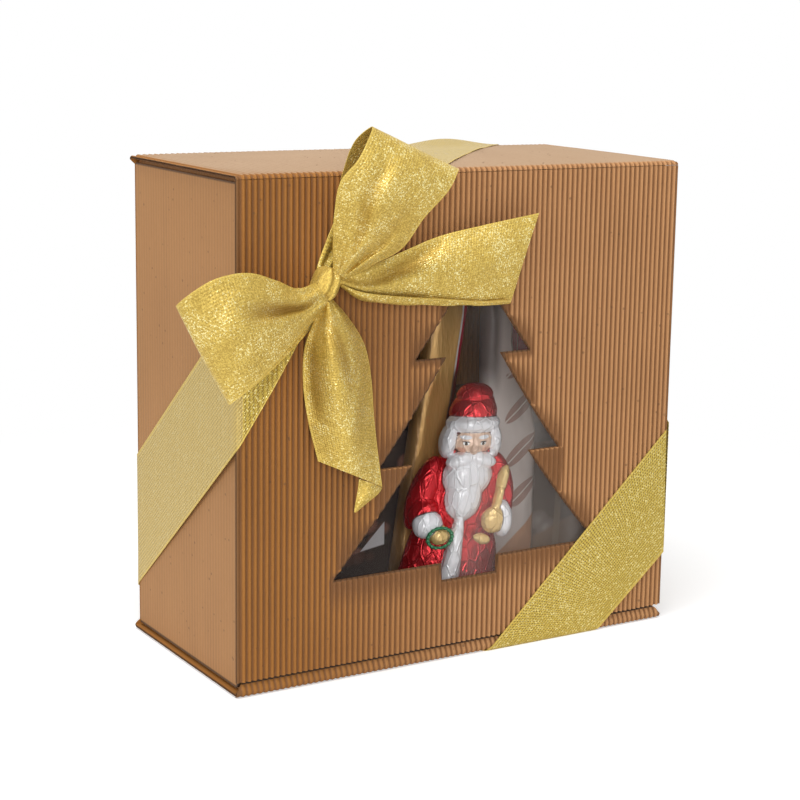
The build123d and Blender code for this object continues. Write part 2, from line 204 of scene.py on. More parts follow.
def makeCamera():
    turn = [radians(angle) for angle in view["turn"]]
    bpy.ops.object.camera_add(location=view["place"], rotation=turn)
    camera = bpy.context.object
    camera.name = "camera"
    camera.data.lens = view["lens"]
    camera.data.sensor_width = view["sensor"]
    camera.data.shift_x, camera.data.shift_y = view["shift"]
    camera.data.clip_start = 0.01
    bpy.context.scene.camera = camera
    bpy.context.view_layer.update()
    return camera.matrix_world.to_3x3()


def seenRays(paint):  # 1 for what the camera sees, straight, mirrored or through a surface
    kinds = ("Camera", "Glossy", "Transmission")
    seen, mirrored, through = [paint.node("LightPath", {}, {}, f"Is {kind} Ray") for kind in kinds]
    return seen.larger(mirrored).larger(through)


def makeLight():
    for name, (place, target, size, watts) in lamps.items():
        aim = (Vector(target) - Vector(place)).to_track_quat("-Z", "Y").to_euler()
        bpy.ops.object.light_add(type="AREA", location=place, rotation=aim)
        lamp = bpy.context.object
        lamp.name = name
        lamp.data.shape = "DISK"
        lamp.data.size = size
        lamp.data.energy = watts
    paint = Paint("studio", "worlds")
    reach = {"Value": seenRays(paint), "To Min": sky["plain"], "To Max": sky["seen"]}
    strength = paint.node("MapRange", {}, reach)
    back = paint.node("Background", {}, {"Color": (1, 1, 1), "Strength": strength})
    bpy.context.scene.world = paint.finish(back, "World")


def makeFloor():
    paint = Paint("floorWhite")
    matte = paint.node("BsdfDiffuse", {}, {"Color": ground["colour"]})
    glow = paint.node("Emission", {}, {"Color": (1, 1, 1), "Strength": ground["glow"]})
    bright = paint.node("AddShader", {}, [matte, glow])
    away = paint.node("VectorMath", {"operation": "LENGTH"}, [paint.place()], "Value")
    white = paint.node("Emission", {}, {"Color": (1, 1, 1), "Strength": 1.0})
    bright = paint.node("MixShader", {}, [away.above(*ground["fade"]), bright, white])
    only()
    bpy.ops.mesh.primitive_plane_add(size=ground["side"], location=(0, 0, 0))
    floor = bpy.context.object
    floor.name = "floor"
    floor.data.materials.append(paint.finish(paint.node("MixShader", {}, [seenRays(paint), matte, bright])))


# helpers for the pieces

def only(*pieces):
    bpy.ops.object.select_all(action="DESELECT")
    for piece in pieces:
        piece.select_set(True)
        bpy.context.view_layer.objects.active = piece


def applied(piece, kind, **settings):
    modifier = piece.modifiers.new(kind.lower(), kind)
    for key, value in settings.items():
        setattr(modifier, key, value)
    only(piece)
    bpy.ops.object.modifier_apply(modifier=modifier.name)


def joined(name, *pieces):
    only(*pieces)
    bpy.context.view_layer.objects.active = pieces[0]
    bpy.ops.object.join()
    pieces[0].name = name
    return pieces[0]


def meshEdit(piece, *steps):  # each step: an operator of bpy.ops.mesh and its settings
    only(piece)
    bpy.ops.object.mode_set(mode="EDIT")
    for work, settings in (("select_all", {"action": "SELECT"}), *steps):
        getattr(bpy.ops.mesh, work)(**settings)
    bpy.ops.object.mode_set(mode="OBJECT")


def faceOutward(piece, *steps):
    everything = ("select_all", {"action": "SELECT"})
    meshEdit(piece, *steps, everything, ("normals_make_consistent", {"inside": False}))


def added(name, kind, place, **settings):  # a new mesh whose points are moved by place(vertex)
    only()
    getattr(bpy.ops.mesh, f"primitive_{kind}_add")(location=(0, 0, 0), **settings)
    piece = bpy.context.object
    piece.name = name
    for vertex in piece.data.vertices:
        vertex.co = place(vertex.co)
    return piece


def grid(name, columns, rows, place):
    def atCell(spot):
        return place(round((spot.x + 0.5) * columns), round((spot.y + 0.5) * rows))
    return added(name, "grid", atCell, x_subdivisions=columns, y_subdivisions=rows, size=1)


def smooth(piece, angle):
    only(piece)
    bpy.ops.object.shade_smooth_by_angle(angle=radians(angle))


def dress(piece, material, slot, body, *nodes):
    piece.data.materials.clear()
    piece.data.materials.append(material)
    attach(piece, body)
    if nodes:
        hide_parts(*nodes)


def seenAt(u, v, depth):  # the point on the plane y = depth (mm) that shows at pixel u, v
    side = view["sensor"] / view["lens"]
    across = (u / view["frame"] - 0.5 + view["shift"][0]) * side
    up = (0.5 - v / view["frame"] + view["shift"][1]) * side
    start, aim = Vector(view["place"]), cameraTurn @ Vector((across, up, -1))
    return start + aim * ((depth * mm - start.y) / aim.y)


def curveThrough(points, count, fineSteps=24):  # smooth line through the points, cut into equal steps
    padded = [2 * points[0] - points[1], *points, 2 * points[-1] - points[-2]]
    fine = []
    for index in range(1, len(padded) - 2):
        p0, p1, p2, p3 = padded[index - 1:index + 3]
        gaps = [max(1e-6, sqrt((b - a).length)) for a, b in ((p0, p1), (p1, p2), (p2, p3))]
        into = ((p1 - p0) / gaps[0] - (p2 - p0) / (gaps[0] + gaps[1]) + (p2 - p1) / gaps[1]) * gaps[1]
        away = ((p2 - p1) / gaps[1] - (p3 - p1) / (gaps[1] + gaps[2]) + (p3 - p2) / gaps[2]) * gaps[1]
        for step in range(fineSteps):
            t = step / fineSteps
            fine.append(p1 * (1 - eased(t)) + p2 * eased(t)
                        + into * (t - 2 * t * t + t ** 3) + away * (t ** 3 - t * t))
    fine.append(points[-1])
    runs = [0]
    for a, b in zip(fine, fine[1:]):
        runs.append(runs[-1] + (b - a).length)
    made, at = [], 0
    for step in range(count + 1):
        wanted = runs[-1] * step / count
        while at < len(fine) - 2 and runs[at + 1] < wanted:
            at += 1
        share = (wanted - runs[at]) / max(1e-9, runs[at + 1] - runs[at])
        made.append(fine[at].lerp(fine[at + 1], min(1, share)))
    return made


cameraTurn = makeCamera()
makeLight()
makeFloor()
bpy.context.scene.view_settings.view_transform = "Standard"
print("camera, light and floor made")


# kraft board: materials

kraft = {
    "crest": (0.55, 0.280, 0.118),
    # valley: painted shade in the flute valleys
    "valley": (0.25, 0.112, 0.040),
    # painted shade: the boards are darker and warmer towards the left
    "leftShade": (0.365, 0.142, 0.016),
    # top: painted light and sheen, the top panel paler
    "top": (0.51, 0.350, 0.225),
    # rim: near-black painted shade for the cut ends, the window's cut rim and the shaded gaps
    "rim": (0.050, 0.026, 0.013),
    "dark": (0.14, 0.070, 0.032),
    "liner": (0.48, 0.240, 0.093),
    "shadowLineAt": 7.15,  # the painted shadow line under the front panel, mm
    "notchAt": 6.0,  # the painted shade in the corner beside the closing flap, mm
    "gloss": 0.35,
}


def fibres(paint, spot, colour):  # cloudy tone, fine fibres and dark specks
    cloud = paint.noise(spot, 18, 3)
    fine = paint.noise(paint.scaled(spot, (1, 1, 0.25)), 1400, 3, 0.6)
    tone = paint.ramp(cloud * 0.5 + fine * 0.5, (0.30, (0.86, 0.84, 0.81)), (0.70, (1.0, 1.0, 1.0)))
    made = paint.times(colour, tone)
    speck = paint.cells(spot, 190, "Distance").below(0.13, 0.02) * paint.noise(spot, 60).above(0.55, 0.05)
    return paint.mix(speck * 0.55, made, kraft["dark"]), fine


def fluteMaterial():
    paint = Paint("kraftFlutes")
    spot = paint.place()
    x, y, z = paint.axes(spot)
    height = paint.attribute("crest")
    uneven = paint.noise(paint.scaled(spot, (1, 1, 0.12)), 260, 2)
    # painted shade: the flute valleys are darker, following each point's crest height
    shade = (height + (uneven - 0.5) * 0.35).above(0.42, 0.42)
    # painted shade: darker and warmer towards the box's left side, where the bow's shade falls
    side = paint.step(x, 0.03, -0.11) * 0.85
    # painted light and sheen: the top panel is paler
    colour = paint.layered(kraft["crest"], (side, kraft["leftShade"]), (z.above(0.2537, 0.0003), kraft["top"]))
    colour, fine = fibres(paint, spot, paint.mix(shade, kraft["valley"], colour))
    # painted shade: the boards' cut ends are painted near-black, as shade in their open channels
    ends = (x.size() * 1000).above(halfWide - 0.15, 0.1) * 0.85
    # painted shade: the crushed rim along the window's cut is painted dark
    cut = height.below(-0.5, 0.3) * 0.65
    # painted shadow: a dark line on the flap just under the front panel's lower edge
    gap = (z * 1000 - kraft["shadowLineAt"]).size().below(0.6, 0.25) * y.below(-0.0575, 0.0005)
    rubbed = x.below(-0.1283, 0.0003) * y.below(-0.0600, 0.0004) * (0.35 + uneven * 0.5)
    colour = paint.layered(colour, (ends, kraft["rim"]), (cut, kraft["rim"]), (gap, kraft["rim"]),
                           (rubbed, kraft["dark"]))
    worn = paint.noise(spot, 900, 2) * 0.25 + 0.62
    normal = paint.bump(fine, 0.25, 0.0004)
    return paint.solid(colour, Roughness=worn, Normal=normal, Specular_IOR_Level=kraft["gloss"])


def linerMaterial():
    paint = Paint("kraftLiner")
    spot = paint.place()
    x, y, z = paint.axes(spot)
    colour, fine = fibres(paint, spot, kraft["liner"])
    lines = (y * (2 * pi / 0.0031)).wave()
    # painted shade: faint dark lines along the flutes under the liner
    fluteShade = (lines * 0.5 + 0.5) * paint.noise(paint.scaled(spot, (1, 1, 0.1)), 90, 2) * 0.36
    # painted shade: dark strips at the top and foot of the tray's left wall, in the shaded gaps under the
    # sleeve's boards
    shadowGaps = z.above(0.2489, 0.0005).larger(z.below(0.0048, 0.0004)) * x.below(-0.1270, 0.0003)
    # painted shade: the dark hollow beside the closing flap's cut-back end
    corner = (z * 1000 - kraft["notchAt"]).size().below(2.3, 0.3)
    notch = x.below(-0.1225, 0.0004) * corner * y.below(-0.0562, 0.0004)
    colour = paint.layered(colour, (fluteShade, kraft["dark"]), (shadowGaps * 0.85, kraft["rim"]),
                           (notch, kraft["rim"]))
    normal = paint.bump(lines * 0.3 + fine * 0.5, 0.25, 0.0004)
    return paint.solid(colour, Roughness=0.68, Normal=normal, Specular_IOR_Level=kraft["gloss"])


# the sleeve's boards: a smooth liner with a wavy sheet on it, so that the cut edges show open channels

board = {
    "thick": 2.0,
    "paper": 0.28,
    "flutes": 84,  # across the front
    "columns": 8,  # to each flute
    "wobble": 0.10,
    "dome": 2.0,
    "crease": 0.6,
    "edge": -127.4,  # the flutes are flatter beyond this line
    "liner": 0.75,  # the liner's place on the scale from valley to crest, which sets its painted valley shade
}


def dome(x, y):  # how far the top panel bulges, mm
    across, along = x / halfWide, y / halfDeep
    return board["dome"] * max(0, 1 - across ** 4) * max(0, 1 - along * along)


def turnPoints(centre, radius, first, last, steps=6):
    angles = [radians(first + (last - first) * step / steps) for step in range(steps + 1)]
    return [(centre[0] + radius * cos(angle), centre[1] + radius * sin(angle)) for angle in angles]


def straight(first, last, steps):
    return [(first[0] + (last[0] - first[0]) * step / steps, first[1] + (last[1] - first[1]) * step / steps)
            for step in range(steps)]


def flutedBoard(name, path, outward, halfWidth, press=None, bulge=None, window=False):
    # path: the liner's smooth face as (y, z) points; outward: +1 if the flutes are on its left side
    rows = len(path) - 1
    normals = []
    for index in range(rows + 1):
        a, b = path[max(0, index - 1)], path[min(rows, index + 1)]
        run = sqrt((b[0] - a[0]) ** 2 + (b[1] - a[1]) ** 2)
        normals.append((-(b[1] - a[1]) / run * outward, (b[0] - a[0]) / run * outward))
    paper, pitch = board["paper"], 2 * halfWide / board["flutes"]
    low, high = paper * 1.5, board["thick"] - paper / 2
    heights = {}

    def at(x, row, rise):
        y, z = path[row][0] + normals[row][0] * rise, path[row][1] + normals[row][1] * rise
        if bulge:
            z += bulge(x, y)
        return Vector((x, y, z)) * mm

    def wavy(column, row):
        x = between(-halfWidth(row), -halfWide + column * pitch / board["columns"], halfWidth(row))
        sway = board["wobble"] * wobble(x * 0.05, row * 0.9, 3.1)
        crest = 0.5 + 0.5 * sin(2 * pi * (x + halfWide + sway) / pitch)
        rise = low + (high - low) * crest * (1 + 0.06 * wobble(x * 0.31, row * 0.35, 8) - 0.03)
        if x < board["edge"]:
            rise = low + (rise - low) * 0.6
        if press:
            rise = press(x, path[row], rise)
        # the crest height also sets the painted valley shade in the material
        heights[(column, row)] = crest
        return at(x, row, rise)

    def smoothFace(column, row):
        return at(halfWidth(row) * (column / 10 - 1), row, paper / 2)

    columns = board["flutes"] * board["columns"]
    sheet = grid(name + "Flutes", columns, rows, wavy)
    liner = grid(name + "Liner", 20, rows, smoothFace)
    wide = columns + 1
    crests = [heights[(index % wide, index // wide)] for index in range(len(sheet.data.vertices))]
    for piece, tones in ((sheet, crests), (liner, [board["liner"]] * len(liner.data.vertices))):
        piece.data.attributes.new("crest", "FLOAT", "POINT").data.foreach_set("value", tones)
        for work in ("remove_doubles", "dissolve_degenerate"):
            meshEdit(piece, (work, {"threshold": 0.00001}))
        applied(piece, "SOLIDIFY", thickness=paper * mm, offset=0)
    made = joined(name, sheet, liner, *([cutWindow(sheet, liner)] if window else []))
    smooth(made, 50)
    return made


tree = {  # shares of the front panel, from its left edge and down from its top edge
    "axis": 0.511,
    "apex": 0.185,
    "tips": [(0.1325, 0.374), (0.2095, 0.584), (0.308, 0.796)],
    "notches": [(0.0635, 0.374), (0.1365, 0.584), (0.0655, 0.796)],
    "foot": 0.832,
    "sag": 0.012,
    "steps": 8,
    "crush": 1.5,  # width of the crushed rim, mm
    "left": 0.4,  # share of the flutes' height that is left at the cut
    "knife": (-70, 14),  # where the cutter starts and how deep it is, mm
}


def treeOutline(grow=0):
    wide = 2 * halfWide
    axis = -halfWide + tree["axis"] * wide
    start = (0, tall * (1 - tree["apex"]))
    half = [start]
    for tipShare, notchShare in zip(tree["tips"], tree["notches"]):
        tip = (tipShare[0] * wide, tall * (1 - tipShare[1]))
        sag = tree["sag"] * (start[1] - tip[1])
        for step in range(1, tree["steps"] + 1):
            t = step / tree["steps"]
            bend = 4 * t * (1 - t) * sag
            half.append(tuple(start[axis] + (tip[axis] - start[axis]) * t - bend for axis in (0, 1)))
        start = (notchShare[0] * wide, tall * (1 - notchShare[1]))
        half.append(start)
    half.append((start[0], tall * (1 - tree["foot"])))
    outline = half + [(-x, z) for x, z in reversed(half) if x > 0]
    made = []
    for before, point, after in zip(outline[-1:] + outline[:-1], outline, outline[1:] + outline[:1]):
        edges = ((before, point), (point, after))
        sides = [Vector((a[1] - b[1], b[0] - a[0])).normalized() for a, b in edges]
        away = (sides[0] + sides[1]).normalized()
        away *= grow / max(0.5, away.dot(sides[0]))
        made.append((axis + point[0] + away.x, point[1] + away.y))
    return made


def treeCutter(grow=0):
    start, deep = tree["knife"]
    points = [Vector((x, start, z)) * mm for x, z in treeOutline(grow)]
    mesh = bpy.data.meshes.new("treeCutter")
    mesh.from_pydata(points, [], [list(range(len(points)))])
    cutter = bpy.data.objects.new("treeCutter", mesh)
    bpy.context.collection.objects.link(cutter)
    faceOutward(cutter, ("extrude_region_move", {"TRANSFORM_OT_translate": {"value": (0, deep * mm, 0)}}))
    return cutter


def cutWindow(sheet, liner):  # the die crushes the flutes along the cut
    cutter, wideCutter = treeCutter(), treeCutter(tree["crush"])
    rim = sheet.copy()
    rim.data = sheet.data.copy()
    bpy.context.collection.objects.link(rim)
    applied(rim, "BOOLEAN", object=wideCutter, operation="INTERSECT", solver="EXACT")
    applied(sheet, "BOOLEAN", object=wideCutter, operation="DIFFERENCE", solver="EXACT")
    for piece in (rim, liner):
        applied(piece, "BOOLEAN", object=cutter, operation="DIFFERENCE", solver="EXACT")
    corners = [Vector(corner) for corner in treeOutline()]
    crests = rim.data.attributes["crest"].data
    foot = -halfDeep + board["thick"] - board["paper"] * 1.5
    for vertex in rim.data.vertices:
        spot = Vector((vertex.co.x, vertex.co.z)) / mm
        for first, last in zip(corners, corners[1:] + corners[:1]):
            side = last - first
            near = first + side * between(0, (spot - first).dot(side) / side.length_squared, 1)
            if (near - spot).length < 0.03:
                vertex.co.y = (foot + (vertex.co.y / mm - foot) * tree["left"]) * mm
                # a crest of -1 marks the cut, which the material paints as a dark line of shade
                crests[vertex.index].value = -1
                break
    for piece in (cutter, wideCutter):
        bpy.data.objects.remove(piece)
    return rim


sleeve = {  # mm
    "flapLine": 8,  # the front panel ends here and the flap goes behind it
    "flapTop": 28,
    "seam": 0.05,
    "mitre": 2.5,  # at the back panel's ends, beside the tray's walls
    "notch": (5.3, 0.98),  # how far the flap's ends are cut back at most, and on each mm up
    "taper": 0.37,  # further cut on each mm above the flap's line
    "ribbonFoot": (15.2, -104.4, 73),  # the ribbon's left edge under the front and the back, its width there
    "ribbonRoom": 0.55,
    "footRoom": 0.14,
}


def makeSleeve():
    crease, thick, seam = board["crease"], board["thick"], sleeve["seam"]
    bend = thick + crease
    front, back, line = -halfDeep + thick, halfDeep - thick, sleeve["flapLine"]
    made = {}

    def wide(row):
        return halfWide

    path = straight((front, line), (front, tall - bend - seam), 10) + [(front, tall - bend - seam)]
    made["sleeve_front_panel"] = flutedBoard("sleeveFront", path, 1, wide, window=True)
    path = straight((halfDeep - bend - seam, tall - thick), (-halfDeep + bend, tall - thick), 14)
    path += turnPoints((-halfDeep + bend, tall - bend), crease, 90, 180)
    made["sleeve_top_panel"] = flutedBoard("sleeveTop", path, -1, wide, bulge=dome)
    low, high = bend + sleeve["mitre"], tall - bend - sleeve["mitre"]
    backPath = straight((back, bend + seam), (back, low), 2) + straight((back, low), (back, high), 8)
    backPath += straight((back, high), (back, tall - bend), 2)
    backPath += turnPoints((back - crease, tall - bend), crease, 0, 90)

    def mitred(row):
        z = backPath[row][1]
        return halfWide - between(0, min(z - bend, tall - bend - z), sleeve["mitre"])
    made["sleeve_back_panel"] = flutedBoard("sleeveBack", backPath, -1, mitred)

    def underRibbon(x, point, rise):
        near, far, width = sleeve["ribbonFoot"]
        left = near + (far - near) * (point[0] + halfDeep) / (2 * halfDeep)
        covered = left - 2 < x < left + width
        return min(rise, thick - sleeve["ribbonRoom" if covered else "footRoom"])
    path = straight((-halfDeep + bend + seam, thick), (halfDeep - bend, thick), 40)
    path += turnPoints((halfDeep - bend, bend), crease, 270, 360)
    made["sleeve_bottom_panel"] = flutedBoard("sleeveBottom", path, -1, wide, press=underRibbon)
    tuck = front + thick + seam
    steps = [step / 6 for step in range(6)]
    slope = [(tuck + (front - tuck) * eased(t), line - (line - bend) * t) for t in steps]
    flapPath = straight((tuck, sleeve["flapTop"]), (tuck, line), 5) + slope
    flapPath += turnPoints((front + crease, bend), crease, 180, 270)

    def flapEnds(row):
        most, slant = sleeve["notch"]
        z = flapPath[row][1]
        return halfWide - between(0, slant * (z - bend), most) - max(0, sleeve["taper"] * (z - line))

    def pressed(x, point, rise):  # the flap's ribs are flat, flattest at its crease
        return 1.2 + rise * 0.3 if point[1] < bend + 0.1 else 0.8 + rise * 0.45
    made["sleeve_closing_flap"] = flutedBoard("sleeveFlap", flapPath, -1, flapEnds, press=pressed)
    flutes = fluteMaterial()
    for node, piece in made.items():
        dress(piece, flutes, "kraft_flutes", "sleeve", node)


def recolour(material, *nodes):  # CAD solids that show as they are
    for node in nodes:
        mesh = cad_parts[node].data
        mesh.materials.clear()
        mesh.materials.append(material)


makeSleeve()
trayBoards = ("base", "left_wall", "right_wall", "top_wall", "bottom_wall", "corner_tabs")
recolour(linerMaterial(), *("tray_" + name for name in trayBoards))
print("boards made")


# ribbon: cloth strips

ribbon = {
    "width": 50,
    "cloth": 0.3,
    "mesh": 0.0029,
    # bright: the colour of the painted glints
    "bright": (0.98, 0.86, 0.40),
    "gold": (0.72, 0.52, 0.115),
    "flat": (0.62, 0.465, 0.085),
    "deep": (0.36, 0.22, 0.030),
    # painted shade in the deep folds
    "foldShade": (0.30, 0.155, 0.012),
    # pale: the sheer cloth's paler tone, also painted light on the band's left wall and top
    "pale": (0.62, 0.46, 0.155),
    "gap": (0.20, 0.135, 0.035),
}


def ribbonMaterial(name, length, flat=False):
    # the UV map runs across the ribbon's width and along its length, in real sizes
    paint = Paint(name)
    u, v = paint.axes(paint.cloth())[:2]
    across, along = u * (ribbon["width"] * mm), v * (length * mm)
    spot = paint.place()
    x, y, z = paint.axes(spot)
    spark = paint.axes(paint.cells(spot, 1900))[0]
    patch = paint.noise(spot, 70, 2)
    turns = 2 * pi / ribbon["mesh"]
    weave = ((across + along) * turns).wave() * ((across - along) * turns).wave()
    if flat:
        # on the flat band, the left wall and the top are painted paler, as stronger light on the sheer cloth
        # there
        sheerAndLitSides = x.below(-0.1272, 0.0004).larger(z.above(0.2537, 0.0004))
        glitter = 0.7 + x.below(-0.09, 0.02) * 0.3 - sheerAndLitSides * 0.8
    else:
        # on the bow, a random paler tone of the sheer cloth
        sheerAndLitSides = (patch - 0.5) * 0.4
        glitter = 1.0
    gaps = weave.above(0.25, 0.2) * (0.85 - sheerAndLitSides * 0.3 if flat else 0.18)
    catch = spark + (patch - 0.5) * (0.2 if flat else 0.8)
    # painted glints: bright sparks where the glitter catches the light
    lit = catch.above(0.90, 0.08)
    layers = [(sheerAndLitSides, ribbon["pale"]), (gaps, ribbon["gap"]),
              (catch.below(0.36, 0.25) * glitter * 0.6, ribbon["deep"]), (lit * glitter, ribbon["bright"])]
    if not flat:
        # painted shade in the deep folds, from each strip's pocket attribute
        layers.append((paint.attribute("pocket"), ribbon["foldShade"]))
    edge = (u - 0.5).size().above(0.478, 0.004)
    colour = paint.layered(ribbon["flat" if flat else "gold"], *layers, (edge * 0.6, ribbon["gold"]))
    normal = paint.bump(spark, 0.12 if flat else 0.28, 0.0005)
    normal = paint.bump(weave, 0.3, 0.0003, normal)
    return paint.solid(colour, Metallic=0.55, Roughness=0.52 - lit * 0.25, Normal=normal)


def clothPiece(name, rows, pockets=None):
    piece = grid(name, len(rows[0]) - 1, len(rows) - 1, lambda column, row: rows[row][column])
    if pockets:
        piece.data.attributes.new("pocket", "FLOAT", "POINT").data.foreach_set("value", pockets)
    applied(piece, "SOLIDIFY", thickness=ribbon["cloth"] * mm, offset=0)
    smooth(piece, 60)
    return piece


band = {
    "columns": 28,
    "lift": 0.22,
    "round": 1.3,
    "into": (-85.5, 203.0),  # where the gathered ribbon enters the knot, and where it leaves
    "leave": (-92.0, 192.0),
    "knotHalf": 4.5,
    "reach": (0.46, 0.60),
    "knotAt": 0.44,
    "gathers": 1.3,
    "curl": 4.0,
    "steps": 22,  # lines along each face
    # where the ribbon's two edges cross each edge of the box, mm along it
    "frontLeft": (195, 124), "frontTop": (-66, -19), "frontRight": (39, 110), "frontFoot": (86.2, 15.2),
    "backLeft": (95, 24), "backTop": (34.7, 98), "backRight": (156, 227), "backFoot": (-33.4, -104.4),
    "sides": (-130, -127.5, 131.0, 127.5),  # x at the left front, left back, right front and right back
    "trayGap": (0.3, 0.6),  # how far the tray's band stays off the sleeve's
}


def crossing(first, second, out):
    # the ribbon's line over an edge of the box, and the two faces' outward directions there
    return {"a": Vector(first), "b": Vector(second), "out": [Vector(side) for side in out]}


def bandRows(crossings, steps, gathered=None, lifted=None):
    rows, count = [], band["columns"]
    r = band["round"]
    for index in range(len(crossings) - 1):
        here, there = crossings[index], crossings[index + 1]
        face = here["out"][1]
        for step in range(steps + 1):
            share = step / steps
            a, b = here["a"].lerp(there["a"], share), here["b"].lerp(there["b"], share)
            run = (there["a"] - here["a"]).length
            if step == 0:
                a, b = here["a"].lerp(there["a"], r / run), here["b"].lerp(there["b"], r / run)
            if step == steps:
                a, b = there["a"].lerp(here["a"], r / run), there["b"].lerp(here["b"], r / run)
            row = [a.lerp(b, column / count) for column in range(count + 1)]
            if gathered and index == gathered[0]:
                row = gathered[1](row, share)
            if lifted and index == lifted[0]:
                row = lifted[1](row, share)
            if index and step == 0:
                before = here["out"][0]
                middle = [here["a"].lerp(here["b"], column / count) - (face + before) * (0.3 * r)
                          for column in range(count + 1)]
                if lifted and index - 1 == lifted[0]:
                    middle = lifted[1](middle, 1)
                rows.append(middle)
            rows.append(row)
    return [[point * mm for point in row] for row in rows]


def gatherAtKnot(row, share):
    away = share - band["knotAt"]
    pull = exp(-(away / band["reach"][away > 0]) ** 2) * min(1, (1 - share) / 0.15, share / 0.15)
    past = between(0, away / 0.16 + 0.5, 1)
    (x0, z0), (x1, z1) = band["into"], band["leave"]
    knot = Vector((x0 + (x1 - x0) * past, row[0].y, z0 + (z1 - z0) * past))
    aim = (row[0] - row[-1]).normalized()
    made = []
    for column, point in enumerate(row):
        t = column / (len(row) - 1)
        slim = knot + aim * band["knotHalf"] * (1 - 2 * t)
        moved = point.lerp(slim, pull)
        moved.y -= band["gathers"] * pull * (1 + sin(t * 6 * pi)) + 0.1
        made.append(moved)
    return made


def restOnTop(row, share):
    made = []
    for column, point in enumerate(row):
        t = column / (len(row) - 1)
        loose = band["curl"] * exp(-((share - 0.02) / 0.10) ** 2) * sin(pi * (0.15 + 0.85 * t)) ** 2
        ripple = 0.5 * wobble(point.x * 0.05, point.y * 0.05, 2)
        made.append(point + Vector((0, 0, dome(point.x, point.y) + loose + ripple * sin(pi * share))))
    return made


def bandLength(rows):
    middle = len(rows[0]) // 2
    return sum((b[middle] - a[middle]).length for a, b in zip(rows, rows[1:]))


def makeBands():
    lift = band["lift"]
    top, foot, front, rear = tall + lift, -lift + 0.45, -halfDeep - lift, halfDeep + lift
    leftFront, leftBack, right, rightBack = (out + lift * (1 if out > 0 else -1) for out in band["sides"])
    up, down, ahead, behind = (0, 0, 1), (0, 0, -1), (0, -1, 0), (0, 1, 0)
    west, east = (-1, 0, 0), (1, 0, 0)

    def upright(name, x, y, *out):
        return crossing(*((x, y, z) for z in band[name]), out)

    def level(name, y, z, *out):
        return crossing(*((x, y, z) for x in band[name]), out)

    sleeveRun = [
        upright("backRight", rightBack, rear, east, behind),
        level("backTop", rear, top, behind, up),
        level("frontTop", front, top, up, ahead),
        upright("frontLeft", leftFront, front, ahead, west),
        upright("backLeft", leftBack, rear, west, behind),
        level("backFoot", rear, foot, behind, down),
        level("frontFoot", front, foot, down, ahead),
        upright("frontRight", right, front, ahead, east),
    ]
    rows = bandRows(sleeveRun, band["steps"], (2, gatherAtKnot), (1, restOnTop))
    length = bandLength(rows) / mm
    piece = clothPiece("ribbonRound", rows)
    dress(piece, ribbonMaterial("ribbonBand", length, True), "gold_ribbon", "sleeve",
          "ribbon_back_upper_band", "ribbon_top_band", "ribbon_front_upper_band", "ribbon_left_band",
          "ribbon_back_lower_band", "ribbon_bottom_band", "ribbon_front_lower_band")
    off, inward = band["trayGap"]
    sideRun = [
        upright("frontRight", right + off, front + inward, ahead, east),
        upright("backRight", rightBack + off, rear - inward, east, behind),
    ]
    rows = bandRows(sideRun, band["steps"])
    length = bandLength(rows) / mm
    side = clothPiece("ribbonSide", rows)
    dress(side, ribbonMaterial("ribbonSideBand", length, True), "gold_ribbon", "tray", "ribbon_right_band")


makeBands()
print("ribbon bands made")


# bow: each strip is a list of lines across the ribbon, as pixel u, pixel v and depth in mm

upperLoop = {
    "rows": [
        [(333, 270, -72), (337, 271, -72), (341, 273, -72)],
        [(333, 239, -72), (352, 242, -70), (372, 248, -71)],
        [(336, 205, -76), (370, 210, -72), (402, 220, -74)],
        [(343, 172, -82), (385, 182, -77), (430, 194, -80)],
        [(355, 141, -88), (398, 160, -83), (448, 177, -85)],
        [(371, 127, -94), (412, 148, -89), (458, 169, -91)],
        [(372, 130, -99), (412, 150, -98), (457, 174, -97)],
        [(358, 160, -101), (401, 173, -104), (449, 190, -99)],
        [(341, 181, -97), (382, 199, -102), (424, 218, -95)],
        [(334, 217, -89), (366, 233, -93), (402, 248, -87)],
        [(333, 246, -81), (351, 255, -86), (370, 266, -80)],
        [(333, 270, -76), (339, 274, -79), (346, 279, -76)],
    ],
    "length": 160,
    "held": (0.0, 1.0),
    "pleats": 3.0,
    "folds": [(0.58, 0.99, 0.24, 0.40, 0.07, -3.5), (0.66, 1.0, 0.80, 0.62, 0.08, -2.5)],
}
leftLoop = {
    "rows": [
        [(325, 283, -71), (327, 290, -71), (330, 298, -71)],
        [(296, 290, -68), (300, 310, -67), (309, 330, -67)],
        [(258, 288, -68), (270, 325, -66), (284, 358, -67)],
        [(215, 298, -71), (235, 345, -68), (252, 388, -69)],
        [(184, 305, -80), (207, 352, -77), (232, 398, -78)],
        [(176, 306, -88), (201, 355, -86), (229, 405, -85)],
        [(186, 297, -95), (210, 346, -94), (235, 401, -91)],
        [(213, 280, -99), (232, 328, -101), (252, 387, -94)],
        [(246, 273, -97), (257, 314, -101), (273, 365, -92)],
        [(277, 281, -89), (284, 303, -94), (297, 338, -86)],
        [(298, 289, -81), (302, 300, -86), (313, 321, -80)],
        [(316, 283, -76), (321, 291, -80), (330, 304, -76)],
    ],
    "length": 170,
    "held": (0.0, 1.0),
    "pleats": 3.0,
    "folds": [(0.66, 0.99, 0.36, 0.48, 0.10, -8.5), (0.72, 1.0, 0.66, 0.60, 0.07, 1.5)],
}
